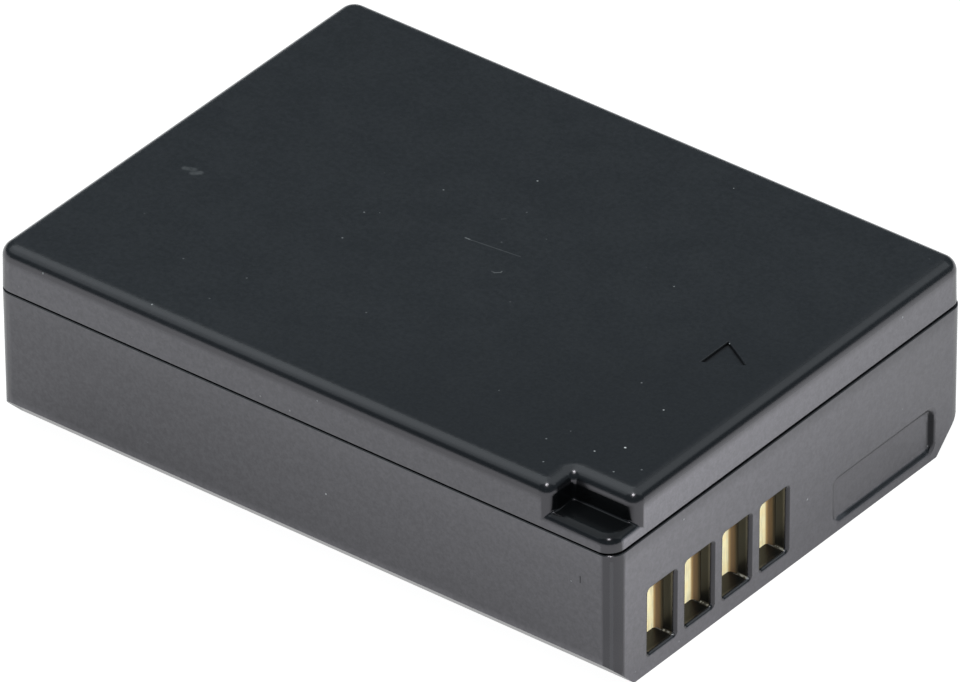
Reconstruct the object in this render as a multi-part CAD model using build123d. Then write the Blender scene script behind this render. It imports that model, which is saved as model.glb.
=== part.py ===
from build123d import *
import os
from math import radians, sqrt, tan

# Slim rechargeable battery for a small camera: a moulded case and cover that meet at a parting groove, with
# two flat cells, their straps, a circuit board and four gold contacts inside. Millimetres. The origin is at
# the middle of the underside, X points to the contact end and Z points up.

# Outside of the closed battery
length = 49.0
width = 36.0
height = 13.8
corner_radius = 1.2        # upright corners
cover_edge_radius = 0.95   # edge round the top of the cover
near_chamfer = 2.2         # long lower edge on the -Y side, cut at 45 degrees
far_chamfer = 2.85         # long lower edge on the +Y side, cut at 45 degrees
foot_edge_radius = 0.06    # edge round the underside
case_draft = 0.5           # degrees, the case narrows downwards
cover_draft = 0.7          # degrees, the cover narrows upwards

# Walls of the two shells
side_wall = 0.85
contact_wall = 1.0         # end wall that the contact windows go through
back_wall = 1.0            # end wall opposite the contacts
floor_wall = 0.8
chamfer_wall = 0.6         # behind the two long chamfers
roof_wall = 0.8
inner_corner_radius = 0.6

# Parting groove, and the cover's tongue that sits inside the rim of the case
cover_depth = 3.3          # from the top of the cover down to the middle of the groove
seam_gap = 0.12
seam_bevel = 0.05          # outer edges of both shells along the groove
cover_setback = 0.1        # the case stands out this far below the cover at the contact end
rim_wall = 0.45            # what is left of the case wall outside the tongue
tongue_clearance = 0.05
tongue_depth = 0.9

# Keying notch in the cover, at the contact end on the -Y side
notch_length = 5.0
notch_width = 2.4
notch_depth = 2.1
notch_wall = 0.8
notch_outer_radius = 0.9   # upright edges where the notch meets the outside
notch_inner_radius = 0.3   # upright edge deep in the notch
notch_floor_radius = 0.7   # outer edge of the notch's floor
notch_root_radius = 0.15   # hollow edge where the notch's walls meet its floor
notch_run_out = 0.1        # the floor's rounded edge ends this far short of the rounded uprights

# Engraved triangle on the cover that points to the contact end
arrow_base = 2.67
arrow_length = 2.36
arrow_inset = 3.62         # from the contact end to the point of the triangle
arrow_depth = 0.2
arrow_edge_radius = 0.1    # rounded lip of the engraving

# Contact windows in the end wall, counted from the -Y side
slot_count = 4
slot_inset = 3.59          # from the -Y side to the first window
slot_width = 2.7
slot_height = 4.87
slot_bottom = 1.35
slot_corner_radius = 0.25
slot_edge_radius = 0.26    # rounded outer edge of each window

# Finger recess in the end wall beside the windows, measured to the middle of its sloping walls
recess_inset = 3.27        # from the +Y side
recess_window_gap = 4.91   # from the last window
recess_bottom = 0.78
recess_height = 3.16
recess_depth = 0.28
recess_slope = 40          # degrees between the recess's walls and its floor
recess_corner_radius = 0.4
recess_edge_radius = 0.48  # outer edge of the recess and edge of its floor

# Contacts: bent sheet, a back and two wings that open towards the end wall
contact_sheet = 0.25
contact_length = 0.87      # from the back's rear face to the front edges of the wings
contact_bend_radius = 0.3
contact_wall_gap = 0.05    # between the wings and the end wall
contact_margin = 0.3       # the contact reaches this far above its window
divider_width = 0.51       # moulded ribs between the contacts
divider_clearance = 0.05

# Circuit board, upright behind the contacts
board_thickness = 0.8
board_side_gap = 0.75      # between the board's ends and the side walls
board_corner_gap = 0.2     # between the board's cut corners and the chamfered walls
board_top_gap = 0.6        # below the notch's underside
guide_rib_width = 0.7
guide_rib_overlap = 0.3    # how far the guide ribs reach over the board's ends
guide_clearance = 0.05
hold_rib_width = 1.2       # ribs under the cover that hold the board down
hold_rib_offset = 8.0
hold_rib_clearance = 0.05

# Cells, tapes and pad, stacked between the floor and the cover
tape_thickness = 0.2
pad_thickness = 0.6
tape_margin = 1.2          # the tapes stop short of the cells' flats
cell_side_gap = 0.35
cell_back_gap = 0.3
cell_notch_gap = 0.25
cell_base_bevel = 0.5
cell_rim_bevel = 0.2
strap_space = 3.2          # between the cells' terminal ends and the board

# Terminal plates and gaskets on the cells' ends
gasket_length = 8.0
gasket_height = 3.2
gasket_thickness = 0.25
gasket_corner_radius = 1.05
terminal_margin = 0.6      # the gasket shows this far round the plate
terminal_thickness = 0.35
terminal_edge_bevel = 0.12

# Insulating card on the cells' ends
card_thickness = 0.2
card_margin = 0.5          # from the card's edge to the cells' outline
card_corner_radius = 0.25
card_window_gap = 0.2

# Nickel straps
strap_thickness = 0.15
strap_width = 3.0
strap_bend_radius = 0.3
strap_tab = 1.9            # length of each welded or soldered tab
tap_width = 1.2
positive_strap_offset = 9.0   # from the middle, towards the -Y side

# Thermal cut-off in the negative line
fuse_length = 5.5
fuse_height = 3.0
fuse_thickness = 1.0
fuse_offset = 5.2          # from the middle, towards the +Y side
fuse_edge_radius = 0.25
fuse_lead_height = 1.6
fuse_lead_run = 1.5        # from the fuse's far end to the strap's bend

# Parts on the rear of the board
package_length = 3.0
package_height = 4.4
package_thickness = 1.0
package_edge = 0.15
package_offset = 4.6       # both packages, either side of the middle
leg_count = 4
leg_pitch = 0.65
leg_width = 0.25
leg_reach = 1.0            # how far the legs stand out of the package
leg_sheet = 0.15
chip_length = 1.6
chip_height = 0.8
chip_thickness = 0.45
chip_pitch = 1.7
chip_end_gap = 3.0         # from the board's ends to the columns of chips

# Levels and places worked out from the sizes above
seam_height = height - cover_depth
case_rim = seam_height - seam_gap / 2
cover_bottom = seam_height + seam_gap / 2
tongue_bottom = case_rim - tongue_depth
contact_end = length / 2
near_side = -width / 2
wall_front = contact_end - contact_wall
roof_underside = height - roof_wall
notch_floor = height - notch_depth
notch_underside = notch_floor - notch_wall

contact_width = slot_width + 2 * contact_sheet
slot_pitch = contact_width + 2 * divider_clearance + divider_width
slot_places = [near_side + slot_inset + slot_width / 2 + i * slot_pitch for i in range(slot_count)]
slot_middle = slot_bottom + slot_height / 2
slot_end = slot_places[-1] + slot_width / 2
recess_floor = contact_end - case_rim * tan(radians(case_draft)) - recess_depth
recess_width = width / 2 - recess_inset - recess_window_gap - slot_end
recess_spread = recess_depth / tan(radians(recess_slope))
contact_back = wall_front - contact_wall_gap - contact_length
contact_height = slot_height + contact_margin

board_front = contact_back
board_back = board_front - board_thickness
board_bottom = floor_wall
board_top = notch_underside - board_top_gap
board_inset = side_wall + board_side_gap
board_width = width - 2 * board_inset
inner_near_chamfer = near_chamfer + chamfer_wall * sqrt(2)
inner_far_chamfer = far_chamfer + chamfer_wall * sqrt(2)
board_near_cut = inner_near_chamfer - board_inset - board_bottom + board_corner_gap
board_far_cut = inner_far_chamfer - board_inset - board_bottom + board_corner_gap

cell_thickness = (height - floor_wall - roof_wall - 2 * tape_thickness - pad_thickness) / 2
cell_width = width - 2 * (side_wall + cell_side_gap)
cell_flat = cell_width - cell_thickness
cell_back = -length / 2 + back_wall + cell_back_gap
cell_front = min(board_back - strap_space, contact_end - notch_length - notch_wall - cell_notch_gap)
cell_length = cell_front - cell_back
lower_cell_bottom = floor_wall + tape_thickness
upper_cell_bottom = lower_cell_bottom + cell_thickness + tape_thickness
lower_cell_middle = lower_cell_bottom + cell_thickness / 2
upper_cell_middle = upper_cell_bottom + cell_thickness / 2
terminal_face = cell_front + gasket_thickness + terminal_thickness
cell_strap_low = lower_cell_middle - strap_tab / 2
fuse_lead_middle = board_top - fuse_lead_height / 2 - card_window_gap
overshoot = 1.0            # how far a cutting block reaches past what it cuts


def drafted_block(rise, draft, front_setback=0):
    """Block on the XY plane with the battery's plan, set back at the contact end, narrowing upwards."""
    plan = Pos(-front_setback / 2, 0) * RectangleRounded(length - front_setback, width, corner_radius)
    return extrude(plan, rise, taper=draft)


def bevel_ring(front_setback=0):
    """Ring on the XY plane that takes the lower edge off a drafted block, at 45 degrees."""
    rise = 3 * seam_bevel
    size_x = length - front_setback - 4 * seam_bevel
    size_y = width - 4 * seam_bevel
    inner = Pos(-front_setback / 2, 0) * RectangleRounded(size_x, size_y, corner_radius - 2 * seam_bevel)
    outer = Rectangle(length + 2 * overshoot, width + 2 * overshoot)
    return Pos(Z=-seam_bevel) * (extrude(outer, rise) - extrude(inner, rise, taper=-45))


def plan_block(inset, low, high, front_inset=None, back_inset=None, radius=inner_corner_radius):
    """Upright block inside the battery's plan, inset from the sides and, where given, more from the ends."""
    front = contact_end - (inset if front_inset is None else front_inset)
    back = -contact_end + (inset if back_inset is None else back_inset)
    plan = Pos((front + back) / 2, 0) * RectangleRounded(front - back, width - 2 * inset, radius)
    return Pos(Z=low) * extrude(plan, high - low)


def corner_wedge(reach, low):
    """Wedge along X that cuts the +Y side's 45 degree corner, reach mm in from the side at the underside."""
    edge = width / 2 - reach
    spare = reach + width
    half = Polygon((edge + low, low), (edge + spare, spare), (edge + spare, low), align=None)
    return extrude(Plane.YZ * half, length, both=True)


def corner_wedges(near_reach, far_reach, low):
    """Two wedges along X that cut both sides' 45 degree corners."""
    return corner_wedge(far_reach, low) + mirror(corner_wedge(near_reach, low), Plane.XZ)


def end_plate(x, thickness, y, z, size_y, size_z, radius, taper=0):
    """Rounded plate that stands across X, from x towards the contact end."""
    outline = Plane.YZ.offset(x) * Pos(y, z) * RectangleRounded(size_y, size_z, radius)
    return extrude(outline, thickness, taper=taper)


def standing_block(x, y, z, size_x, size_y, size_z):
    """Plain block from x towards the contact end, centred on y, from z upwards."""
    return Pos(x, y, z) * Box(size_x, size_y, size_z, align=(Align.MIN, Align.CENTER, Align.MIN))


def edges_at(solid, axis, place, reach=0.02):
    """Edges of a solid whose middle lies at one place along an axis."""
    return solid.edges().filter_by_position(axis, place - reach, place + reach)


def nearest_edge(solid, point):
    """The edge of a solid whose middle is nearest to a point."""
    return solid.edges().sort_by(lambda edge: (edge.center() - Vector(*point)).length)[0]


def outer_edges(solid, y, z, size_y, size_z, reach=0.3):
    """Edges round an opening in the contact end's outer face, centred on y and z."""
    edges = solid.edges().filter_by_position(Axis.X, contact_end - reach, contact_end)
    edges = edges.filter_by_position(Axis.Y, y - size_y / 2 - reach, y + size_y / 2 + reach)
    edges = edges.filter_by_position(Axis.Z, z - size_z / 2 - reach, z + size_z / 2 + reach)
    return [edge for edge in edges if edge.bounding_box().size.X < reach / 2]


def bottom_case():
    """Open case: chamfered long edges, contact windows, finger recess, tongue rim and board guides."""
    outside = Pos(Z=case_rim) * Rot(X=180) * (drafted_block(case_rim, case_draft) - bevel_ring())
    outside -= corner_wedges(near_chamfer, far_chamfer, -overshoot)
    outside = fillet(edges_at(outside, Axis.Z, 0), foot_edge_radius)

    inside = plan_block(side_wall, floor_wall, case_rim + overshoot, contact_wall, back_wall)
    inside -= corner_wedges(inner_near_chamfer, inner_far_chamfer, 0)
    rebate = plan_block(rim_wall, tongue_bottom, case_rim + overshoot, radius=corner_radius - rim_wall)
    case = outside - inside - rebate

    for y in slot_places:
        case -= end_plate(wall_front - overshoot, contact_wall + 2 * overshoot, y, slot_middle, slot_width,
                          slot_height, slot_corner_radius)
        case = fillet(outer_edges(case, y, slot_middle, slot_width, slot_height), slot_edge_radius)
    recess_y = width / 2 - recess_inset - recess_width / 2
    recess_z = recess_bottom + recess_height / 2
    recess = end_plate(recess_floor, recess_depth + overshoot, recess_y, recess_z,
                       recess_width - recess_spread, recess_height - recess_spread, recess_corner_radius,
                       recess_slope - 90)
    case -= fillet(edges_at(recess, Axis.X, recess_floor), recess_edge_radius)
    case = fillet(outer_edges(case, recess_y, recess_z, recess_width, recess_height), recess_edge_radius)

    ledge_x = board_front + divider_clearance
    ledge_run = wall_front - ledge_x
    row_middle = (slot_places[0] + slot_places[-1]) / 2
    case += standing_block(ledge_x, row_middle, floor_wall, ledge_run, slot_count * slot_pitch,
                           slot_bottom - floor_wall)
    for i in range(slot_count + 1):
        y = slot_places[0] + (i - 0.5) * slot_pitch
        case += standing_block(ledge_x, y, floor_wall, ledge_run, divider_width,
                               slot_bottom + contact_height - floor_wall)

    rib_reach = board_side_gap + guide_rib_overlap
    for side in (-1, 1):
        for x in (board_front + guide_clearance, board_back - guide_clearance - guide_rib_width):
            y = side * (width / 2 - side_wall - rib_reach / 2 + rim_wall / 2)
            rib = standing_block(x, y, floor_wall, guide_rib_width, rib_reach + rim_wall,
                                 tongue_bottom - floor_wall)
            case += rib - corner_wedges(near_chamfer + chamfer_wall / 2, far_chamfer + chamfer_wall / 2,
                                        -overshoot)
    return case


def top_cover():
    """Cover with its keying notch, engraved triangle, tongue and ribs that hold the board down."""
    full = Pos(Z=cover_bottom) * drafted_block(height - cover_bottom, cover_draft, cover_setback)
    notch_x = contact_end - notch_length
    notch_y = near_side + notch_width
    outer_corner = (Align.MIN, Align.MAX, Align.CENTER)
    upper = full - Pos(notch_x, notch_y, 0) * Box(length, width, 2 * height, align=outer_corner)
    middle = (cover_bottom + height) / 2
    upper = fillet(nearest_edge(upper, (notch_x, near_side, middle)), notch_outer_radius)
    upper = fillet(nearest_edge(upper, (contact_end, notch_y, middle)), notch_outer_radius)
    upper = fillet(nearest_edge(upper, (notch_x, notch_y, middle)), notch_inner_radius)
    upper = fillet(edges_at(upper, Axis.Z, height), cover_edge_radius)

    reach = notch_outer_radius - notch_run_out
    corner = full & (Pos(notch_x - reach, notch_y + reach, notch_floor)
                     * Box(length, width, 2 * height, align=(Align.MIN, Align.MAX, Align.MAX)))
    rim = edges_at(corner, Axis.Z, notch_floor)
    inner_x = rim.sort_by(Axis.X)[0]
    inner_y = rim.sort_by(Axis.Y)[-1]
    corner = fillet([edge for edge in rim if edge not in (inner_x, inner_y)], notch_floor_radius)
    shell = upper + corner
    root = nearest_edge(shell, ((notch_x + contact_end) / 2, notch_y, notch_floor))
    shell = fillet(root, notch_root_radius)
    shell -= Pos(Z=cover_bottom) * bevel_ring(cover_setback)

    inside = plan_block(side_wall, cover_bottom - overshoot, roof_underside)
    pocket = (Pos(notch_x - notch_wall, notch_y + notch_wall, notch_underside)
              * Box(length, width, height, align=(Align.MIN, Align.MAX, Align.MIN)))
    shell -= inside - pocket

    tongue_inset = rim_wall + tongue_clearance
    tongue = plan_block(tongue_inset, tongue_bottom, cover_bottom, radius=corner_radius - tongue_inset)
    tongue -= plan_block(side_wall, tongue_bottom - overshoot, cover_bottom + overshoot)
    shell += tongue

    for side in (-1, 1):
        low = board_top + hold_rib_clearance
        shell += standing_block(board_back, side * hold_rib_offset, low, board_thickness, hold_rib_width,
                                roof_underside + roof_wall / 2 - low)

    tip = contact_end - arrow_inset
    base = tip - arrow_length
    arrow = Polygon((tip, 0), (base, arrow_base / 2), (base, -arrow_base / 2), align=None)
    shell -= Pos(Z=height - arrow_depth) * extrude(arrow, overshoot)
    lip = edges_at(shell, Axis.Z, height).filter_by_position(Axis.X, base - arrow_edge_radius, tip)
    lip = lip.filter_by_position(Axis.Y, -arrow_base / 2, arrow_base / 2)
    return fillet(lip, arrow_edge_radius)


def cell_can(bottom):
    """Flat can with round narrow sides, a bevelled base and a crisper edge at its terminal end."""
    outline = Pos(0, bottom + cell_thickness / 2) * SlotOverall(cell_width, cell_thickness)
    can = extrude(Plane.YZ.offset(cell_back) * outline, cell_length)
    can = chamfer(edges_at(can, Axis.X, cell_back), cell_base_bevel)
    return chamfer(edges_at(can, Axis.X, cell_front), cell_rim_bevel)


def gasket(middle):
    """Insulating plate between a can and its terminal."""
    return end_plate(cell_front, gasket_thickness, 0, middle, gasket_length, gasket_height,
                     gasket_corner_radius)


def terminal(middle):
    """Terminal plate on the gasket, with a bevelled outer edge."""
    size_y = gasket_length - 2 * terminal_margin
    size_z = gasket_height - 2 * terminal_margin
    plate = end_plate(cell_front + gasket_thickness, terminal_thickness, 0, middle, size_y, size_z,
                      gasket_corner_radius - terminal_margin)
    return chamfer(edges_at(plate, Axis.X, terminal_face), terminal_edge_bevel)


def flat_sheet(bottom, thickness):
    """Tape or pad that covers the flats of the cells, apart from a margin."""
    size_x = cell_length - 2 * tape_margin
    size_y = cell_flat - 2 * tape_margin
    plan = Pos((cell_back + cell_front) / 2, 0) * RectangleRounded(size_x, size_y, tape_margin)
    return Pos(Z=bottom) * extrude(plan, thickness)


def upright_strip(points, y, strip_width):
    """Strip bent in the XZ plane: its sheet lies to the left of a path through the points."""
    path = FilletPolyline(*points, radius=strap_bend_radius)
    sheet = make_face(offset(path, strap_thickness, side=Side.LEFT))
    return Pos(Y=y) * extrude(Plane.XZ * sheet, strip_width / 2, both=True)


def level_strip(points, z, strip_height):
    """Strip bent in the XY plane: its sheet lies to the left of a path through the points."""
    path = FilletPolyline(*points, radius=strap_bend_radius)
    sheet = make_face(offset(path, strap_thickness, side=Side.LEFT))
    return Pos(Z=z) * extrude(sheet, strip_height / 2, both=True)


def board_strap(start, y, low, strip_width):
    """Strap from a face at start, tab upwards, across to the board and up again as a soldered tab."""
    bend = low + strap_tab
    points = [(start + strap_thickness, low), (start + strap_thickness, bend),
              (board_back, bend), (board_back, bend + strap_tab)]
    return upright_strip(points, y, strip_width)


def series_strap():
    """Strap from the lower cell's terminal, stepping back on to the upper cell's can."""
    top = upper_cell_middle - gasket_height / 2 - card_window_gap
    step_low = lower_cell_middle + gasket_height / 2
    step_high = upper_cell_bottom + cell_rim_bevel
    points = [(terminal_face + strap_thickness, cell_strap_low), (terminal_face + strap_thickness, step_low),
              (cell_front + strap_thickness, step_high), (cell_front + strap_thickness, top)]
    return upright_strip(points, 0, strap_width)


def negative_strap():
    """Strap from the far end of the fuse across to the board."""
    start = fuse_offset + fuse_length
    bend = start + fuse_lead_run
    points = [(terminal_face + strap_thickness, start), (terminal_face + strap_thickness, bend),
              (board_back, bend), (board_back, bend + strap_tab)]
    return level_strip(points, fuse_lead_middle, fuse_lead_height)


def end_card():
    """Card on the cells' ends, with windows for the gaskets and for the straps welded to the cans."""
    low = lower_cell_bottom + card_margin
    high = upper_cell_bottom + cell_thickness - card_margin
    card = end_plate(cell_front, card_thickness, 0, (low + high) / 2, cell_flat, high - low,
                     card_corner_radius)
    gap = 2 * card_window_gap
    for middle in (lower_cell_middle, upper_cell_middle):
        card -= standing_block(cell_front, 0, middle - gasket_height / 2 - card_window_gap, card_thickness,
                               gasket_length + gap, gasket_height + gap)
    card -= standing_block(cell_front, -positive_strap_offset, cell_strap_low - card_window_gap,
                           card_thickness, strap_width + gap, strap_tab + strap_thickness + gap)
    card -= standing_block(cell_front, 0, lower_cell_middle, card_thickness, strap_width + gap,
                           upper_cell_middle - lower_cell_middle)
    return card


def circuit_board():
    """Upright board with its lower corners cut to clear the chamfered walls."""
    rise = board_top - board_bottom
    outline = Pos(0, board_bottom + rise / 2) * Rectangle(board_width, rise)
    near_corner = outline.vertices().sort_by(lambda corner: corner.Y + corner.X)[0]
    outline = chamfer(near_corner, board_near_cut)
    far_corner = outline.vertices().sort_by(lambda corner: corner.Y - corner.X)[0]
    outline = chamfer(far_corner, board_far_cut)
    return extrude(Plane.YZ.offset(board_back) * outline, board_thickness)


def contact(y):
    """Bent contact: a back and two wings with rounded bends, open towards the end wall."""
    corner = (Align.MIN, Align.CENTER)
    outline = Rectangle(contact_length, contact_width, align=corner)
    outline = fillet(outline.vertices().sort_by(Axis.X)[:2], contact_bend_radius + contact_sheet)
    hollow = Pos(contact_sheet, 0) * Rectangle(contact_length, slot_width, align=corner)
    hollow = fillet(hollow.vertices().sort_by(Axis.X)[:2], contact_bend_radius)
    return Pos(contact_back, y, slot_bottom) * extrude(outline - hollow, contact_height)


def thermal_fuse():
    """Moulded body of the thermal cut-off, lying on the card beside the upper cell's terminal."""
    body = standing_block(cell_front + card_thickness, fuse_offset + fuse_length / 2,
                          upper_cell_middle - fuse_height / 2, fuse_thickness, fuse_length, fuse_height)
    return fillet(edges_at(body, Axis.X, cell_front + card_thickness + fuse_thickness), fuse_edge_radius)


def fuse_lead():
    """Flat lead from the upper cell's terminal to the near end of the fuse."""
    start = -gasket_length / 2 + terminal_margin
    return standing_block(terminal_face, (start + fuse_offset) / 2, fuse_lead_middle - fuse_lead_height / 2,
                          strap_thickness, fuse_offset - start, fuse_lead_height)


def legged_package(y):
    """Flat package on the board's rear face, with a row of bent legs above and below."""
    middle = (board_bottom + board_top) / 2
    body = standing_block(board_back - package_thickness, y, middle - package_height / 2,
                          package_thickness, package_length, package_height)
    body = chamfer(edges_at(body, Axis.X, board_back - package_thickness), package_edge)
    shoulder = board_back - package_thickness / 2
    tip = package_height / 2 + leg_reach
    bend = package_height / 2 + leg_reach / 2
    profile = [(shoulder, 0), (shoulder, bend), (board_back - leg_sheet, bend), (board_back - leg_sheet, tip),
               (board_back, tip), (board_back, bend - leg_sheet), (shoulder + leg_sheet, bend - leg_sheet),
               (shoulder + leg_sheet, 0)]
    for i in range(leg_count):
        leg_y = y + (i - (leg_count - 1) / 2) * leg_pitch
        leg = Pos(Y=leg_y) * extrude(Plane.XZ * Polygon(*profile, align=None), leg_width / 2, both=True)
        body += Pos(Z=middle) * (leg + mirror(leg, Plane.XY))
    return body


def board_chip(side, row):
    """Small chip on the board's rear face, in a column near one end of the board."""
    y = side * (board_width / 2 - chip_end_gap)
    middle = (board_bottom + board_top) / 2
    z = middle + row * chip_pitch - chip_height / 2
    return standing_block(board_back - chip_thickness, y, z, chip_thickness, chip_length, chip_height)


pieces = {
    "bottom_case": bottom_case(),
    "top_cover": top_cover(),
    "lower_cell_can": cell_can(lower_cell_bottom),
    "upper_cell_can": cell_can(upper_cell_bottom),
    "lower_cell_gasket": gasket(lower_cell_middle),
    "upper_cell_gasket": gasket(upper_cell_middle),
    "lower_cell_terminal": terminal(lower_cell_middle),
    "upper_cell_terminal": terminal(upper_cell_middle),
    "case_tape": flat_sheet(floor_wall, tape_thickness),
    "cell_tape": flat_sheet(lower_cell_bottom + cell_thickness, tape_thickness),
    "cover_pad": flat_sheet(upper_cell_bottom + cell_thickness, pad_thickness),
    "end_card": end_card(),
    "circuit_board": circuit_board(),
    "positive_strap": board_strap(cell_front, -positive_strap_offset, cell_strap_low, strap_width),
    "series_strap": series_strap(),
    "centre_tap_strap": board_strap(terminal_face + strap_thickness, 0, cell_strap_low, tap_width),
    "negative_strap": negative_strap(),
    "thermal_fuse": thermal_fuse(),
    "fuse_lead": fuse_lead(),
    "protection_chip": legged_package(package_offset),
    "switch_transistor": legged_package(-package_offset),
    "thermistor": board_chip(1, 0),
    "chip_resistor_1": board_chip(1, -1),
    "chip_resistor_2": board_chip(1, -2),
    "chip_capacitor_1": board_chip(-1, 0),
    "chip_capacitor_2": board_chip(-1, 1),
}
for number, place in enumerate(slot_places, start=1):
    pieces[f"contact_{number}"] = contact(place)

os.makedirs("parts", exist_ok=True)
for name, piece in pieces.items():
    export_step(piece, f"parts/{name}.step")
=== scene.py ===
import math
from types import SimpleNamespace

import bpy
from mathutils import Matrix, Vector


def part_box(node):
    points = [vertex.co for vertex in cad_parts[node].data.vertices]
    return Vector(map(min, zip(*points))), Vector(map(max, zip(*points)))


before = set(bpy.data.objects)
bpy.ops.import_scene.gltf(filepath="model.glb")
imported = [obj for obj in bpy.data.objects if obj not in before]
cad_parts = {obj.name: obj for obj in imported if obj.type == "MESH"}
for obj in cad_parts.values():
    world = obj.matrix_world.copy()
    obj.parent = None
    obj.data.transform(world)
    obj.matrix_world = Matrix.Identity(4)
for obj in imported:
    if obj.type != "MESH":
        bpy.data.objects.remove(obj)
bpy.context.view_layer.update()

# The photograph's camera, in millimetres and degrees
camera_turn = 38.2374
camera_rise = 34.4775
camera_distance = 1219.78
camera_aim = (-2.0224, 2.5359, 4.6944)
camera_roll = 0.3368
camera_lens = 727.225

# Places on the battery that the finishes need, in millimetres
top_level = 13.8
contact_end = 24.5
near_side = -18.0
notch_back = 19.5
notch_side = -15.6
notch_floor = 11.7
seam_level = 10.5
window_floor = 1.35
window_top = 6.22
window_sides = [-11.71, -7.90, -4.09, -0.28]
windows_end = 2.7
recess_start = 4.63
recess_end = 14.73
recess_top = 4.5
recess_fade_level = 2.8
recess_fade_side = 5.6
chamfer_top = 2.2
arrow_back = 13.0
arrow_tip = 20.0
arrow_sides = (-3.0, 6.0)
contacts = ["contact_1", "contact_2", "contact_3", "contact_4"]

# How the housing looks: colours, roughness, specular levels and the depth of its grain in millimetres
charcoal = (0.0095, 0.0104, 0.0115, 1)
cloudy_charcoal = (0.0153, 0.0164, 0.0180, 1)
# Painted shade colour that darkens the notched corner and the hollows
painted_shade_black = (0.0045, 0.0050, 0.0056, 1)
# Pale colour for dust, scuffs and scratches, and for the painted glints and the painted highlight on the near
# corner
dust_and_highlight_colour = (0.45, 0.46, 0.47, 1)
white_speck_and_glint_colour = (0.86, 0.87, 0.88, 1)
shine_tint = (0.945, 0.922, 1.0, 1)
satin_roughness = (0.34, 0.36)
edge_roughness = 0.24
notch_roughness = 0.18
dust_roughness = 0.8
plain_shine = 0.45
top_shine = 0.385
side_shine_ends = (0.435, 0.565)
cover_side_shine = 0.535
end_shine_sides = (1.14, 0.60)
cover_end_share = 1.14
rim_end_share = 0.71
edge_shine = (0.325, 0.37)
hollow_shine = (0.13, 0.11)
recess_wall_shine = 0.1
grain_depth = 0.0045

# Marks that the photograph shows, in millimetres: specks as (x, y, strength) on the cover, (x, z, strength)
# on the long side and (x, y, z, strength) on the edges and the contact end, and straight marks by their ends
top_specks = [(-5.95, 3.91, 0.5), (0.56, 1.50, 0.18), (19.28, -13.17, 1.0), (19.91, -7.02, 1.0),
              (21.58, -14.22, 0.57), (17.02, -5.50, 0.45), (22.81, -13.0, 0.38), (18.66, 1.26, 1.0),
              (-1.90, 8.31, 0.88), (-8.33, -1.11, 0.52), (-7.63, -4.20, 0.5), (-14.05, -12.08, 0.28),
              (-9.97, -14.56, 0.25), (-19.15, -9.63, 0.14), (-9.56, -11.37, 0.32), (-1.28, -9.82, 0.34),
              (17.49, -16.0, 0.5), (16.1, -13.92, 0.44), (-0.25, 5.10, 0.24), (5.08, -3.42, 0.18)]
side_specks = [(-22.56, 11.33, 0.1), (-19.3, 10.86, 0.12), (-12.37, 3.76, 0.4), (-3.23, 11.11, 0.45),
               (-0.90, 10.99, 0.5), (1.29, 12.64, 0.52)]
edge_specks = [(-20.62, -17.92, 13.11, 1.0), (-12.42, -17.24, 13.77, 0.9), (24.44, 11.55, 5.69, 0.22)]
# White specks of dust, and the last one a painted glint at the recess's lower corner
white_specks_and_glint = [(20.54, -11.72, top_level), (1.88, near_side, 5.86), (24.45, -10.91, 9.65),
                (24.44, 1.75, 4.19), (24.4, 11.57, 12.56), (24.25, 14.52, 1.16)]
fibre_bends = [(2.08, -1.44), (2.30, -1.46), (2.61, -1.21), (2.58, -1.06)]
scuff_ends = ((-1.54, 0.52), (-1.07, 0.53))
scratch_ends = [((-1.07, 0.53), (2.50, 0.94)), ((-1.04, 3.54), (-0.85, 3.72))]
smudge_ends = [((-20.36, -4.10), (-19.78, -3.86)), ((-19.60, -4.23), (-19.26, -3.90))]
smudge_radii = [0.28, 0.3]
# A painted highlight down the near upright corner
corner_highlight_ends = ((24.06, -17.66, 1.5), (24.08, -17.68, 9.9))
nick_ends = ((21.88, near_side, 7.7), (21.88, near_side, 8.15))
speck_radius = 0.085
white_speck_and_glint_radius = 0.1
fibre_radius = 0.07
scuff_radius = 0.08
scratch_radius = 0.06
corner_highlight_radius = 0.18
nick_radius = 0.07
glint_radius = 0.1

# The small electric parts: lengths in millimetres, and colours
legged_half = 2.5
leg_start = 2.201
cap_length = 0.3
cap_soft = 0.02
resistor_colour = (0.035, 0.035, 0.04)
capacitor_colour = (0.42, 0.33, 0.24)
tinned = (0.74, 0.74, 0.72, 1)
tinned_leg = (0.72, 0.72, 0.71, 1)

# The studio: places in metres and degrees, brightness 1 is white, and each panel has its name, its place to
# the right, its width and its brightness
floor_size = 6.0
floor_drop = 0.00002
floor_white = 0.97
floor_paint = (0.3, 0.3, 0.3, 1)
shade_reach = 0.06
shade_power = 1.3
least_mirrored = 0.56
least_beneath = 0.8
beneath_half_length = 0.0243
beneath_half_width = 0.0178
panels = [("outer_left_panel", -0.73, 0.52, 0.55), ("left_panel", -0.235, 0.47, 0.85),
          ("right_panel", 0.5, 1.0, 0.57)]
panel_back = 0.07
panel_height = 0.55
panel_depth = 0.63
panel_colour = (0.92, 1.0, 0.98)
lamp_colour = (1.0, 0.99, 0.97)
key_turn = -52
key_rise = 60
key_reach = 0.9
key_size = (0.2, 0.2)
key_brightness = 18.0
card_turn = 0
card_rise = 16
card_reach = 0.8
card_size = (1.0, 0.44)
card_brightness = 5.5
room_colour = (0.127, 0.158, 0.176, 1)


def metres(point):
    """A point in millimetres as a vector in metres."""
    return Vector(point) / 1000


def on_cover(point):
    """A place on top of the cover, from its x and y."""
    return (*point, top_level)


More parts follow.
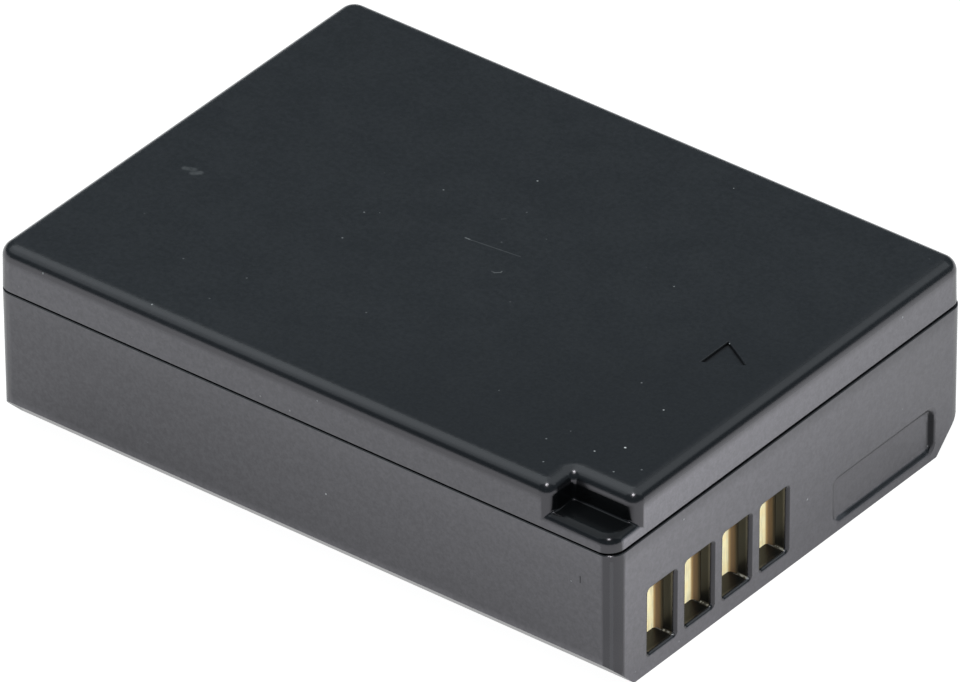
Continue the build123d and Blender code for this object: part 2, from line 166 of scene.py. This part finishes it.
class Nodes:
    """A material's nodes. Each method adds a node and returns the socket that carries its result."""

    def __init__(self, tree):
        self.tree = tree

    def feed(self, socket, value):
        """Links a socket to a value that is a socket, or sets it to a plain value."""
        if isinstance(value, bpy.types.NodeSocket):
            self.tree.links.new(value, socket)
        else:
            socket.default_value = value

    def node(self, kind, inputs, output=0, **settings):
        """Any node, by its inputs, the output wanted and its settings."""
        node = self.tree.nodes.new(kind)
        for setting, value in settings.items():
            setattr(node, setting, value)
        for name, value in inputs.items():
            self.feed(node.inputs[name], value)
        return node.outputs[output]

    def math(self, operation, first, second=0.0):
        """One sum on one or two values."""
        return self.node("ShaderNodeMath", {0: first, 1: second}, operation=operation)

    def vector(self, operation, first, second=(0.0, 0.0, 0.0), output="Vector", **inputs):
        """One sum on one or two vectors."""
        inputs = {0: first, 1: second, **inputs}
        return self.node("ShaderNodeVectorMath", inputs, output, operation=operation)

    def split(self, vector):
        """The three components of a vector."""
        node = self.tree.nodes.new("ShaderNodeSeparateXYZ")
        self.feed(node.inputs[0], vector)
        return node.outputs[0], node.outputs[1], node.outputs[2]

    def largest(self, values):
        """The largest of several values."""
        result = values[0]
        for value in values[1:]:
            result = self.math("MAXIMUM", result, value)
        return result

    def product(self, values):
        """Several values multiplied together."""
        result = values[0]
        for value in values[1:]:
            result = self.math("MULTIPLY", result, value)
        return result

    def ramp(self, value, start, end, low=0.0, high=1.0):
        """Smooth step from low to high as the value goes from start to end."""
        inputs = {"Value": value, "From Min": start, "From Max": end, "To Min": low, "To Max": high}
        return self.node("ShaderNodeMapRange", inputs, interpolation_type="SMOOTHSTEP")

    def band(self, value, start, full_start, full_end, end):
        """0 below start, 1 from full_start to full_end and 0 above end, with smooth steps between."""
        return self.product([self.ramp(value, start, full_start), self.ramp(value, end, full_end)])

    def mix(self, share, first, second):
        """First colour where the share is 0, second colour where it is 1."""
        return self.node("ShaderNodeMix", {0: share, 6: first, 7: second}, 2, data_type="RGBA")

    def blend(self, share, first, second):
        """First value where the share is 0, second value where it is 1."""
        return self.node("ShaderNodeMix", {0: share, 2: first, 3: second}, 0)


class Finish(Nodes):
    """A piece's material, worked out from its place in millimetres and the way that it faces."""

    def __init__(self, name, roughness, metallic=0.0, ior=1.5):
        self.material = bpy.data.materials.new(name)
        self.material.use_nodes = True
        super().__init__(self.material.node_tree)
        self.shader = self.tree.nodes["Principled BSDF"]
        self.set("Roughness", roughness)
        self.set("Metallic", metallic)
        self.set("IOR", ior)
        object_place = self.node("ShaderNodeTexCoord", {}, "Object")
        self.place = self.vector("SCALE", object_place, Scale=1000.0)
        self.facing = self.node("ShaderNodeTexCoord", {}, "Normal")

    def set(self, name, value):
        """Gives the shader one of its inputs."""
        self.feed(self.shader.inputs[name], value)

    def noise(self, per_mm, detail=2.0, rough=0.5, stretch=(1.0, 1.0, 1.0)):
        """Noise from 0 to 1, with so many lumps per millimetre, drawn out along an axis of small stretch."""
        place = self.vector("MULTIPLY", self.place, stretch)
        inputs = {"Vector": place, "Scale": per_mm, "Detail": detail, "Roughness": rough}
        return self.node("ShaderNodeTexNoise", inputs)

    def cells(self, per_mm, output="Distance"):
        """Random cells: the distance to the nearest cell's point, or that cell's own random colour."""
        return self.node("ShaderNodeTexVoronoi", {"Vector": self.place, "Scale": per_mm}, output)

    def spot(self, centre, radius, soft=0.6):
        """1 inside a small round mark, 0 outside."""
        reach = self.vector("DISTANCE", self.place, centre, "Value")
        return self.ramp(reach, radius, radius * (1 - soft))

    def streak(self, start, end, radius, core=0.3):
        """1 along a thin straight mark between two points, 0 away from it."""
        run = Vector(end) - Vector(start)
        offset = self.vector("SUBTRACT", self.place, start)
        along = self.vector("DOT_PRODUCT", offset, run.normalized(), "Value")
        along = self.math("MINIMUM", self.math("MAXIMUM", along, 0.0), run.length)
        nearest = self.vector("SCALE", run.normalized(), Scale=along)
        reach = self.vector("DISTANCE", offset, nearest, "Value")
        return self.ramp(reach, radius, radius * core)

    def bump(self, height, depth_mm):
        """Surface relief: height from 0 to 1 stands for depth_mm."""
        return self.node("ShaderNodeBump", {"Height": height, "Distance": depth_mm / 1000})


def housing_zones(f):
    """A point's place on the housing, how it faces, its share from 0 to 1 of each zone, and the grain."""
    zone = SimpleNamespace()
    x, y, z = f.split(f.place)
    zone.x, zone.y, zone.z = x, y, z
    faces_end, faces_side, faces_up = [f.math("ABSOLUTE", part) for part in f.split(f.facing)]
    zone.faces_up = faces_up

    # Flat grained faces, without the rounded edges
    on_top = f.ramp(faces_up, 0.955, 0.997)
    on_side = f.product([f.ramp(faces_side, 0.955, 0.997), f.ramp(z, top_level - 0.85, top_level - 1.35)])
    on_end = f.product([f.ramp(faces_end, 0.75, 0.9), f.ramp(faces_side, 0.22, 0.02),
                        f.ramp(z, top_level - 0.6, top_level - 1.45)])

    # Finger recess: its upper and inner borders look like the face round them, its outer wall is dark
    beside = f.band(y, recess_start - 0.9, recess_start - 0.5, recess_end + 0.6, recess_end + 0.9)
    in_recess = f.product([f.ramp(faces_end, 0.55, 0.7), f.ramp(z, recess_top + 0.3, recess_top), beside])
    fading = f.largest([f.ramp(z, recess_fade_level, recess_fade_level + 0.5),
                        f.ramp(y, recess_fade_side + 0.8, recess_fade_side)])
    zone.recess_fade = f.product([in_recess, fading])
    zone.recess_wall = f.product([in_recess, f.ramp(y, recess_end - 0.7, recess_end - 0.5),
                                  f.ramp(faces_side, 0.25, 0.5)])
    zone.textured = f.largest([on_top, on_side, on_end, zone.recess_fade])

    # Hollows that little light gets into: notch, windows, engraved triangle and a nick in the long side
    height = f.band(z, notch_floor - 0.4, notch_floor - 0.1, top_level - 1.0, top_level - 0.7)
    zone.in_notch = f.product([f.ramp(x, notch_back - 0.3, notch_back),
                               f.ramp(y, notch_side + 0.3, notch_side), height])
    height = f.band(z, window_floor - 0.4, window_floor - 0.1, window_top + 0.1, window_top + 0.4)
    in_window = f.product([f.ramp(x, contact_end - 0.25, contact_end - 0.5), f.ramp(faces_end, 0.7, 0.5),
                           f.band(y, near_side + 1.5, near_side + 1.8, windows_end, windows_end + 0.3),
                           height])
    arrow_start, arrow_stop = arrow_sides
    arrow_wall = f.product([f.ramp(faces_up, 0.97, 0.85), f.ramp(z, top_level - 0.5, top_level - 0.4),
                            f.band(x, arrow_back - 1.0, arrow_back, arrow_tip, arrow_tip + 1.0),
                            f.band(y, arrow_start - 1.0, arrow_start, arrow_stop, arrow_stop + 1.0)])
    nick = f.streak(*nick_ends, nick_radius)
    zone.hollow = f.largest([zone.in_notch, in_window, arrow_wall, nick])

    zone.grain = f.math("ADD", f.noise(5.0, 2.0), f.product([f.noise(13.0, 1.0), 0.5]))
    zone.mottle = f.noise(2.6, 2.0, 0.6)
    zone.clouds = f.noise(0.35, 3.0)
    return zone


def housing_colour(f, zone):
    """Even charcoal with faint cloudy patches, with painted shade that darkens it towards the notched corner
    and in the hollows.
    """
    patches = f.math("ADD", f.product([zone.clouds, 0.4]), f.product([zone.mottle, 0.6]))
    colour = f.mix(f.ramp(patches, 0.35, 0.65), charcoal, cloudy_charcoal)
    # Painted shade: darker towards the notched corner and in the hollows
    corner_shade = f.ramp(f.math("SUBTRACT", zone.x, zone.y), 5.0, 34.0, 0.0, 0.95)
    return f.mix(f.largest([corner_shade, f.product([zone.hollow, 0.8])]), colour, painted_shade_black)


def housing_marks(f, zone):
    """The share of pale dust, scuffs, scratches, painted glints and a painted highlight at a point, and the
    share of white specks and a painted glint.
    """
    # Scattered dust: round specks, larger and more towards the contact end, each with its own strength
    dust_size = f.ramp(zone.x, -26.0, 24.0, 0.010, 0.026)
    dust_strength = f.ramp(f.cells(0.45, "Color"), 0.25, 0.9, 0.1, 0.8)
    marks = [f.product([f.math("LESS_THAN", f.cells(0.45), dust_size), dust_strength])]

    # Specks and a short curved fibre at their own places
    specks = [(x, y, top_level, strength) for x, y, strength in top_specks]
    specks += [(x, near_side, z, strength) for x, z, strength in side_specks]
    specks += edge_specks
    for *place, strength in specks:
        marks.append(f.product([f.spot(place, speck_radius), strength]))
    bends = [on_cover(bend) for bend in fibre_bends]
    fibre = f.largest([f.streak(start, end, fibre_radius) for start, end in zip(bends, bends[1:])])
    marks.append(f.product([fibre, f.ramp(zone.x, 2.1, 2.35, 0.12, 0.28)]))

    # Scuff, scratches and smudges on the cover
    scuff = f.streak(*map(on_cover, scuff_ends), scuff_radius)
    marks.append(f.product([scuff, f.ramp(f.noise(5.0), 0.35, 0.65, 0.05, 0.4)]))
    scratches = [f.streak(*map(on_cover, ends), scratch_radius) for ends in scratch_ends]
    marks.append(f.product([f.largest(scratches), 0.12]))
    smudges = [f.streak(*map(on_cover, ends), radius) for ends, radius in zip(smudge_ends, smudge_radii)]
    marks.append(f.product([f.largest(smudges), f.noise(2.5, 3.0), 0.26]))

    # Painted glints along the floors of the windows, and a painted highlight down the near corner
    glints = []
    for side in window_sides:
        start = (contact_end - 1.65, side - 0.06, window_floor + 0.06)
        end = (contact_end - 0.12, side - 0.06, window_floor + 0.06)
        glints.append(f.streak(start, end, glint_radius))
    marks.append(f.product([f.largest(glints), f.ramp(f.noise(4.0, 2.0), 0.42, 0.6, 0.05, 0.8)]))
    marks.append(f.product([f.streak(*corner_highlight_ends, corner_highlight_radius), 0.1]))

    white = f.largest([f.spot(place, white_speck_and_glint_radius) for place in white_specks_and_glint])
    return f.largest(marks), white


def housing_shine(f, zone):
    """Specular level, by the way that a point faces and by its place on that face."""
    on_cover_shell = f.ramp(zone.z, seam_level - 0.03, seam_level + 0.03)
    rim = f.ramp(zone.z, seam_level - 0.1, seam_level - 1.3, rim_end_share, 1.0)
    end_shine = f.product([f.blend(on_cover_shell, rim, cover_end_share),
                           f.ramp(zone.y, -20.0, 24.0, *end_shine_sides)])
    lower_edge = f.ramp(zone.z, chamfer_top + 0.5, chamfer_top, 1.0, 1.4)
    upper_edge = f.ramp(zone.z, 8.0, seam_level - 0.2, 1.0, 1.07)
    side_shine = f.product([f.ramp(zone.x, -24.0, 20.0, *side_shine_ends), lower_edge, upper_edge])
    side_shine = f.blend(on_cover_shell, side_shine, cover_side_shine)

    # The squares of a normal's components add up to 1, so they share the three faces' levels out
    squares = f.vector("MULTIPLY", f.facing, f.facing)
    levels = f.node("ShaderNodeCombineXYZ", {0: end_shine, 1: side_shine, 2: top_shine})
    shine = f.vector("DOT_PRODUCT", squares, levels, "Value")
    shine = f.blend(zone.recess_fade, shine, end_shine)
    shine = f.product([shine, f.ramp(zone.grain, 0.5, 1.0, 0.93, 1.07),
                       f.ramp(zone.mottle, 0.3, 0.7, 0.94, 1.06)])
    shine = f.blend(zone.textured, f.ramp(zone.z, 5.0, 2.5, *edge_shine), shine)
    shine = f.blend(zone.recess_wall, shine, recess_wall_shine)
    return f.blend(zone.hollow, shine, f.ramp(zone.faces_up, 0.4, 0.8, *hollow_shine))


def housing():
    """Charcoal moulded plastic: fine grain on the faces, smoother rounded edges, dust and scratches, painted
    shade and painted highlights.
    """
    f = Finish("housing_plastic", 0.4, ior=2.0)
    zone = housing_zones(f)
    pale, white = housing_marks(f, zone)
    colour = f.mix(pale, housing_colour(f, zone), dust_and_highlight_colour)
    f.set("Base Color", f.mix(white, colour, white_speck_and_glint_colour))
    rough = f.blend(zone.textured, edge_roughness, f.ramp(zone.clouds, 0.25, 0.75, *satin_roughness))
    rough = f.blend(zone.in_notch, rough, notch_roughness)
    f.set("Roughness", f.largest([rough, f.product([f.largest([pale, white]), dust_roughness])]))
    # The export drops a linked level, so the socket has a plain value under the link
    f.set("Specular IOR Level", plain_shine)
    f.set("Specular IOR Level", housing_shine(f, zone))
    f.set("Specular Tint", shine_tint)
    f.set("Normal", f.bump(f.product([zone.grain, zone.textured]), grain_depth))
    return f.material


def gold():
    """Gold plate with drawn lines, with painted shade: pale on the back plate, brown on the bends and dark on
    the wings.
    """
    f = Finish("contact_gold", 0.5, metallic=1.0)
    x = f.split(f.place)[0]
    turned = f.math("ABSOLUTE", f.split(f.facing)[1])
    lines = f.noise(9.0, 2.0, stretch=(1.0, 1.0, 0.08))
    plate = f.mix(f.ramp(f.noise(1.4, 3.0), 0.35, 0.75), (1.0, 0.965, 0.74, 1), (1.0, 0.92, 0.64, 1))
    outward = f.ramp(x, contact_end - 1.45, contact_end - 1.0)
    # Painted shade: the bends, the wings and most of all the wings' outer ends are darker than the back plate
    painted_wing_shade = f.mix(outward, (0.33, 0.24, 0.155, 1), (0.11, 0.096, 0.076, 1))
    colour = f.mix(f.ramp(turned, 0.2, 0.65), plate, (0.60, 0.44, 0.23, 1))
    colour = f.mix(f.ramp(turned, 0.55, 0.95), colour, painted_wing_shade)
    painted_wing_end_shade = f.ramp(x, contact_end - 1.25, contact_end - 1.1)
    colour = f.mix(painted_wing_end_shade, colour, (0.1, 0.088, 0.07, 1))
    f.set("Base Color", f.mix(f.ramp(lines, 0.6, 0.3, 0.0, 0.12), colour, (0.05, 0.04, 0.03, 1)))
    f.set("Roughness", f.ramp(lines, 0.3, 0.7, 0.82, 0.9))
    f.set("Normal", f.bump(lines, 0.0012))
    return f.material


def aluminium():
    """Drawn aluminium can: satin, with fine lines along the drawing direction and faint handling marks."""
    f = Finish("can_aluminium", 0.34, metallic=1.0)
    lines = f.noise(7.0, 3.0, stretch=(0.06, 1.0, 1.0))
    cloud = f.noise(0.25, 3.0)
    f.set("Base Color", f.mix(cloud, (0.74, 0.74, 0.76, 1), (0.82, 0.82, 0.84, 1)))
    f.set("Roughness", f.ramp(lines, 0.25, 0.75, 0.28, 0.42))
    f.set("Normal", f.bump(lines, 0.002))
    return f.material


def gasket():
    """Blue moulded plastic with a soft satin surface."""
    f = Finish("gasket_plastic", 0.4)
    cloud = f.noise(1.2, 3.0)
    f.set("Base Color", f.mix(cloud, (0.085, 0.14, 0.36, 1), (0.115, 0.18, 0.44, 1)))
    f.set("Roughness", f.ramp(cloud, 0.3, 0.7, 0.36, 0.46))
    f.set("Normal", f.bump(f.noise(9.0, 2.0), 0.004))
    return f.material


def nickel():
    """Rolled nickel strip: warm grey metal with fine rolling lines and faint heat tint in patches."""
    f = Finish("strap_nickel", 0.3, metallic=1.0)
    lines = f.noise(8.0, 3.0, stretch=(1.0, 1.0, 0.07))
    tint = f.ramp(f.noise(0.6, 3.0), 0.5, 0.75)
    f.set("Base Color", f.mix(tint, (0.66, 0.63, 0.58, 1), (0.60, 0.53, 0.44, 1)))
    f.set("Roughness", f.ramp(lines, 0.25, 0.75, 0.24, 0.38))
    f.set("Normal", f.bump(lines, 0.0015))
    return f.material


def tape():
    """White tissue tape: matt, with short fibres in two directions."""
    f = Finish("adhesive_tape", 0.8)
    fibres = f.product([f.noise(2.2, 4.0, 0.65, (0.2, 1.0, 1.0)), f.noise(2.2, 4.0, 0.65, (1.0, 0.2, 1.0))])
    f.set("Base Color", f.mix(f.ramp(fibres, 0.12, 0.4), (0.74, 0.73, 0.68, 1), (0.87, 0.86, 0.82, 1)))
    f.set("Normal", f.bump(fibres, 0.02))
    return f.material


def foam():
    """Dark open foam: matt, with small round pores."""
    f = Finish("foam_pad", 0.9)
    pores = f.ramp(f.cells(3.2), 0.1, 0.55)
    f.set("Base Color", f.mix(pores, (0.025, 0.025, 0.028, 1), (0.072, 0.072, 0.078, 1)))
    f.set("Normal", f.bump(pores, 0.06))
    return f.material


def card():
    """Pressed insulating card: buff, matt, with fibres and small darker flecks."""
    f = Finish("insulating_card", 0.7)
    fibres = f.noise(3.0, 4.0, 0.65, (1.0, 0.3, 1.0))
    flecks = f.ramp(f.cells(1.8), 0.12, 0.06, 0.0, 0.6)
    colour = f.mix(f.ramp(fibres, 0.3, 0.7), (0.54, 0.50, 0.35, 1), (0.66, 0.62, 0.46, 1))
    f.set("Base Color", f.mix(flecks, colour, (0.30, 0.24, 0.14, 1)))
    f.set("Normal", f.bump(fibres, 0.01))
    return f.material


def board():
    """Green circuit board: semi-gloss solder resist on its faces, bare glass laminate on its cut edges."""
    f = Finish("board_laminate", 0.3)
    face = f.ramp(f.math("ABSOLUTE", f.split(f.facing)[0]), 0.6, 0.8)
    weave = f.product([f.noise(3.0, 2.0, 0.5, (1.0, 0.15, 1.0)), f.noise(3.0, 2.0, 0.5, (1.0, 1.0, 0.15))])
    resist = f.mix(f.ramp(weave, 0.1, 0.4), (0.012, 0.125, 0.052, 1), (0.026, 0.18, 0.08, 1))
    laminate = f.mix(weave, (0.45, 0.40, 0.20, 1), (0.62, 0.57, 0.34, 1))
    f.set("Base Color", f.mix(face, laminate, resist))
    f.set("Roughness", f.ramp(face, 0.0, 1.0, 0.7, 0.28))
    f.set("Normal", f.bump(weave, 0.008))
    return f.material


def middle_and_half(node):
    """Middle and half size of a CAD piece's box, in millimetres."""
    low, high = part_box(node)
    return (low + high) * 500, (high - low) * 500


def epoxy(node):
    """Matt moulded epoxy with a fine grain, and tinned metal where legs stand out of the body."""
    middle, half = middle_and_half(node)
    f = Finish("chip_plastic", 0.6)
    grain = f.noise(12.0, 2.0)
    body = f.mix(grain, (0.020, 0.020, 0.022, 1), (0.032, 0.032, 0.036, 1))
    if half.z > legged_half:
        height = f.math("ABSOLUTE", f.math("SUBTRACT", f.split(f.place)[2], middle.z))
        metal = f.math("GREATER_THAN", height, leg_start)
        f.set("Metallic", metal)
        f.set("Roughness", f.ramp(metal, 0.0, 1.0, 0.6, 0.25))
        body = f.mix(metal, body, tinned_leg)
    f.set("Base Color", body)
    f.set("Normal", f.bump(grain, 0.006))
    return f.material


def ceramic(node, colour):
    """Fired ceramic chip with tinned metal caps at both ends."""
    middle, half = middle_and_half(node)
    f = Finish("chip_ceramic", 0.45)
    grain = f.noise(10.0, 2.0)
    reach = f.math("ABSOLUTE", f.math("SUBTRACT", f.split(f.place)[1], middle.y))
    reach = f.math("ADD", reach, f.product([grain, 0.06]))
    cap_start = half.y - cap_length
    metal = f.ramp(reach, cap_start - cap_soft, cap_start + cap_soft)
    body = f.mix(grain, [0.8 * c for c in colour] + [1], [1.1 * c for c in colour] + [1])
    f.set("Metallic", metal)
    f.set("Base Color", f.mix(metal, body, tinned))
    f.set("Roughness", f.ramp(metal, 0.0, 1.0, 0.5, 0.3))
    f.set("Normal", f.bump(grain, 0.006))
    return f.material


def floor_material():
    """White floor: white to the camera and, less what the object hides from it, in reflections."""
    material = bpy.data.materials.new("studio_floor")
    material.use_nodes = True
    material.node_tree.nodes.clear()
    f = Nodes(material.node_tree)
    x, y, _ = f.split(f.node("ShaderNodeTexCoord", {}, "Object"))
    beneath = f.product([f.math("LESS_THAN", f.math("ABSOLUTE", x), beneath_half_length),
                         f.math("LESS_THAN", f.math("ABSOLUTE", y), beneath_half_width)])
    open_sky = f.node("ShaderNodeAmbientOcclusion", {"Distance": shade_reach}, "AO")
    shaded = f.largest([f.math("POWER", open_sky, shade_power), f.product([beneath, least_beneath]),
                        least_mirrored])
    paths = f.tree.nodes.new("ShaderNodeLightPath").outputs
    mirrored = f.largest([paths["Is Glossy Ray"], paths["Is Transmission Ray"]])
    seen = f.largest([paths["Is Camera Ray"], f.product([mirrored, shaded])])
    glow = f.node("ShaderNodeEmission", {"Strength": f.product([seen, floor_white])})
    paint = f.node("ShaderNodeBsdfDiffuse", {"Color": floor_paint})
    output = f.tree.nodes.new("ShaderNodeOutputMaterial")
    f.feed(output.inputs["Surface"], f.node("ShaderNodeAddShader", {0: glow, 1: paint}))
    return material


def away(turn, rise, reach):
    """A place so many metres from the object, by its turn about Z from +X and its rise, in degrees."""
    level = reach * math.cos(math.radians(rise))
    return Vector((level * math.cos(math.radians(turn)), level * math.sin(math.radians(turn)),
                   reach * math.sin(math.radians(rise))))


def turned_place(right, back, up):
    """A place in metres to the right of, behind and above the object as the camera sees it."""
    turn = math.radians(camera_turn)
    return Vector((right * math.cos(turn) - back * math.sin(turn),
                   right * math.sin(turn) + back * math.cos(turn), up))


def soft_lamp(name, shape, place, turned, size, brightness, colour):
    """Area lamp. Brightness 1 is a white rectangle, and an ellipse of that size is 4/pi times as bright."""
    lamp = bpy.data.lights.new(name, "AREA")
    lamp.shape = shape
    lamp.size, lamp.size_y = size
    lamp.energy = brightness * size[0] * size[1] * math.pi
    lamp.color = colour
    holder = bpy.data.objects.new(name, lamp)
    holder.location = place
    holder.rotation_mode = "QUATERNION"
    holder.rotation_quaternion = turned
    holder.visible_camera = False
    bpy.context.collection.objects.link(holder)
    return holder


def aimed_lamp(name, place, size, brightness):
    """Elliptical lamp at a place, turned to the object."""
    return soft_lamp(name, "ELLIPSE", place, (-place).to_track_quat("-Z", "Y"), size, brightness, lamp_colour)


def light_only(holder, names):
    """Lets a lamp light only these CAD pieces."""
    lit = bpy.data.collections.new(holder.name)
    for name in names:
        lit.objects.link(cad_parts[name])
    holder.light_linking.receiver_collection = lit


def studio():
    """White floor, three panels overhead, a key lamp, a card for the contacts alone, and a dim cool room."""
    bpy.ops.mesh.primitive_plane_add(size=floor_size, location=(0, 0, -floor_drop))
    ground = bpy.context.object
    ground.name = "studio_floor"
    ground.data.materials.append(floor_material())

    level_turn = Matrix.Rotation(math.radians(camera_turn), 3, "Z").to_quaternion()
    for name, right, width, brightness in panels:
        place = turned_place(right, panel_back, panel_height)
        soft_lamp(name, "RECTANGLE", place, level_turn, (width, panel_depth), brightness, panel_colour)
    aimed_lamp("key_lamp", away(key_turn, key_rise, key_reach), key_size, key_brightness)
    card_place = away(card_turn, card_rise, card_reach)
    contact_card = aimed_lamp("contact_card", card_place, card_size, card_brightness)
    light_only(contact_card, contacts)

    world = bpy.data.worlds.new("dim_room")
    world.use_nodes = True
    bpy.context.scene.world = world
    background = world.node_tree.nodes["Background"]
    background.inputs["Color"].default_value = room_colour
    background.inputs["Strength"].default_value = 1.0


def photo_camera():
    """Long-lens camera that stands where the photograph was taken from."""
    turn = math.radians(camera_turn)
    rise = math.radians(camera_rise)
    back = Vector((math.sin(turn) * math.cos(rise), -math.cos(turn) * math.cos(rise), math.sin(rise)))
    place = metres(back * camera_distance)
    view = metres(camera_aim) - place
    lens = bpy.data.cameras.new("photo_camera")
    lens.sensor_width = 36.0
    lens.lens = camera_lens
    lens.clip_start = 0.05
    lens.clip_end = 20.0
    camera = bpy.data.objects.new("photo_camera", lens)
    turned = view.to_track_quat("-Z", "Y").to_matrix() @ Matrix.Rotation(math.radians(-camera_roll), 3, "Z")
    camera.rotation_euler = turned.to_euler()
    camera.location = place
    bpy.context.collection.objects.link(camera)
    bpy.context.scene.camera = camera


def give(finish, *names):
    """Gives CAD pieces a finish."""
    for name in names:
        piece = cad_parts[name]
        piece.data.materials.clear()
        piece.data.materials.append(finish)


give(housing(), "bottom_case", "top_cover")
give(gold(), *contacts)
give(aluminium(), "lower_cell_can", "upper_cell_can")
give(gasket(), "lower_cell_gasket", "upper_cell_gasket")
give(nickel(), "lower_cell_terminal", "upper_cell_terminal", "positive_strap", "series_strap",
     "centre_tap_strap", "negative_strap", "fuse_lead")
give(tape(), "case_tape", "cell_tape")
give(foam(), "cover_pad")
give(card(), "end_card")
give(board(), "circuit_board")
for chip in ("thermal_fuse", "protection_chip", "switch_transistor"):
    give(epoxy(chip), chip)
for chip in ("thermistor", "chip_resistor_1", "chip_resistor_2"):
    give(ceramic(chip, resistor_colour), chip)
for chip in ("chip_capacitor_1", "chip_capacitor_2"):
    give(ceramic(chip, capacitor_colour), chip)

studio()
photo_camera()
bpy.context.scene.view_settings.view_transform = "Standard"
